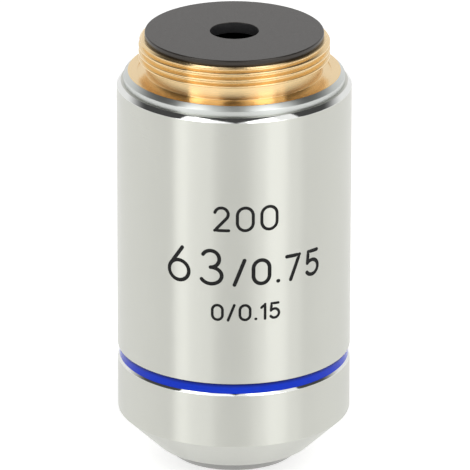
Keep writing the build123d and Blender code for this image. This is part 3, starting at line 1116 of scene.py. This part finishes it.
def make_lamp(name, side, width, height, brightness):
    """A rectangular lamp a metre from the middle of the object, and facing it."""
    sizes = bpy.context.scene.objective_stage
    light = bpy.data.lights.new(name, "AREA")
    light.shape = "RECTANGLE"
    light.size = width
    light.size_y = height
    light.energy = brightness * pi * width * height
    lamp = bpy.data.objects.new(name, light)
    bpy.context.scene.collection.objects.link(lamp)
    level = cos(sizes.lamp_elevation)
    away = Vector((sin(side) * level, -cos(side) * level, sin(sizes.lamp_elevation)))
    lamp.location = Vector((0, 0, sizes.lamp_target)) + away
    lamp.rotation_mode = "QUATERNION"
    lamp.rotation_quaternion = away.to_track_quat("Z", "Y")
    lamp.visible_camera = False


def make_camera():
    """Camera at the photograph's place and with its lens."""
    sizes = bpy.context.scene.objective_stage
    data = bpy.data.cameras.new("photo_camera")
    data.lens = sizes.lens
    data.sensor_width = 36
    data.clip_start = 0.05
    data.clip_end = 20
    camera = bpy.data.objects.new("photo_camera", data)
    bpy.context.scene.collection.objects.link(camera)
    target = Vector((sizes.target_side, 0, sizes.target_height))
    back = Vector((0, -cos(sizes.elevation), sin(sizes.elevation)))
    camera.location = target + back * sizes.distance
    aim = back.to_track_quat("Z", "Y").to_matrix().to_4x4()
    camera.matrix_world = Matrix.Translation(camera.location) @ aim @ Matrix.Rotation(sizes.roll, 4, "Z")
    bpy.context.scene.camera = camera


def make_stage():
    """Camera, floor, surroundings and lamps."""
    make_camera()
    make_floor()
    make_world()
    for name, (side, width, height, brightness) in LAMPS.items():
        make_lamp(name, radians(side), width, height, brightness)
    bpy.context.scene.view_settings.view_transform = "Standard"


# Operators


class OBJECTIVE_OT_outer_sleeve(bpy.types.Operator):
    """Make the chromed sleeve with its engraving"""

    bl_idname = "objective.outer_sleeve"
    bl_label = "Outer Sleeve"

    def execute(self, context):
        make_outer_sleeve()
        return {"FINISHED"}


class OBJECTIVE_OT_colour_ring(bpy.types.Operator):
    """Make the blue enamel ring"""

    bl_idname = "objective.colour_ring"
    bl_label = "Colour Ring"

    def execute(self, context):
        make_colour_ring()
        return {"FINISHED"}


class OBJECTIVE_OT_thread_mount(bpy.types.Operator):
    """Make the brass mount and cut its thread"""

    bl_idname = "objective.thread_mount"
    bl_label = "Thread Mount"

    def execute(self, context):
        make_thread_mount()
        return {"FINISHED"}


class OBJECTIVE_OT_rear_stop(bpy.types.Operator):
    """Make the black rear stop"""

    bl_idname = "objective.rear_stop"
    bl_label = "Rear Stop"

    def execute(self, context):
        make_rear_stop()
        return {"FINISHED"}


class OBJECTIVE_OT_nose(bpy.types.Operator):
    """Make the retracting nose and the front cell"""

    bl_idname = "objective.nose"
    bl_label = "Nose"

    def execute(self, context):
        make_nose()
        make_front_cell()
        return {"FINISHED"}


class OBJECTIVE_OT_spring(bpy.types.Operator):
    """Wind the retraction spring"""

    bl_idname = "objective.spring"
    bl_label = "Spring"

    def execute(self, context):
        make_spring()
        return {"FINISHED"}


class OBJECTIVE_OT_inner_pieces(bpy.types.Operator):
    """Give the inner tubes, rings, cells and lenses their finishes"""

    bl_idname = "objective.inner_pieces"
    bl_label = "Inner Pieces"

    def execute(self, context):
        finish_solids()
        return {"FINISHED"}


class OBJECTIVE_OT_stage(bpy.types.Operator):
    """Set up the floor, the lights and the camera"""

    bl_idname = "objective.stage"
    bl_label = "Stage"

    def execute(self, context):
        make_stage()
        return {"FINISHED"}


class OBJECTIVE_PT_panel(bpy.types.Panel):
    """Lists the pieces of the objective"""

    bl_idname = "OBJECTIVE_PT_panel"
    bl_label = "Microscope Objective"
    bl_space_type = "VIEW_3D"
    bl_region_type = "UI"
    bl_category = "Objective"

    def draw(self, context):
        for operator in OPERATORS:
            self.layout.operator(operator.bl_idname)


OPERATORS = (
    OBJECTIVE_OT_stage,
    OBJECTIVE_OT_outer_sleeve,
    OBJECTIVE_OT_colour_ring,
    OBJECTIVE_OT_thread_mount,
    OBJECTIVE_OT_rear_stop,
    OBJECTIVE_OT_nose,
    OBJECTIVE_OT_spring,
    OBJECTIVE_OT_inner_pieces,
)
GROUPS = {
    "objective_thread": ThreadSizes,
    "objective_stop": StopSizes,
    "objective_sleeve": SleeveSizes,
    "objective_nose": NoseSizes,
    "objective_spring": SpringSizes,
    "objective_numbers": NumberSizes,
    "objective_finish": Finish,
    "objective_stage": StageSizes,
    "objective_quality": Quality,
}


def register():
    for group in GROUPS.values():
        bpy.utils.register_class(group)
    for name, group in GROUPS.items():
        setattr(bpy.types.Scene, name, PointerProperty(type=group))
    for operator in OPERATORS:
        bpy.utils.register_class(operator)
    bpy.utils.register_class(OBJECTIVE_PT_panel)


def unregister():
    bpy.utils.unregister_class(OBJECTIVE_PT_panel)
    for operator in reversed(OPERATORS):
        bpy.utils.unregister_class(operator)
    for name in GROUPS:
        delattr(bpy.types.Scene, name)
    for group in reversed(list(GROUPS.values())):
        bpy.utils.unregister_class(group)


def main():
    """Makes the stage and all the pieces."""
    register()
    bpy.ops.objective.stage()
    bpy.ops.objective.outer_sleeve()
    bpy.ops.objective.colour_ring()
    bpy.ops.objective.thread_mount()
    bpy.ops.objective.rear_stop()
    bpy.ops.objective.nose()
    bpy.ops.objective.spring()
    bpy.ops.objective.inner_pieces()


if __name__ == "__main__":
    main()
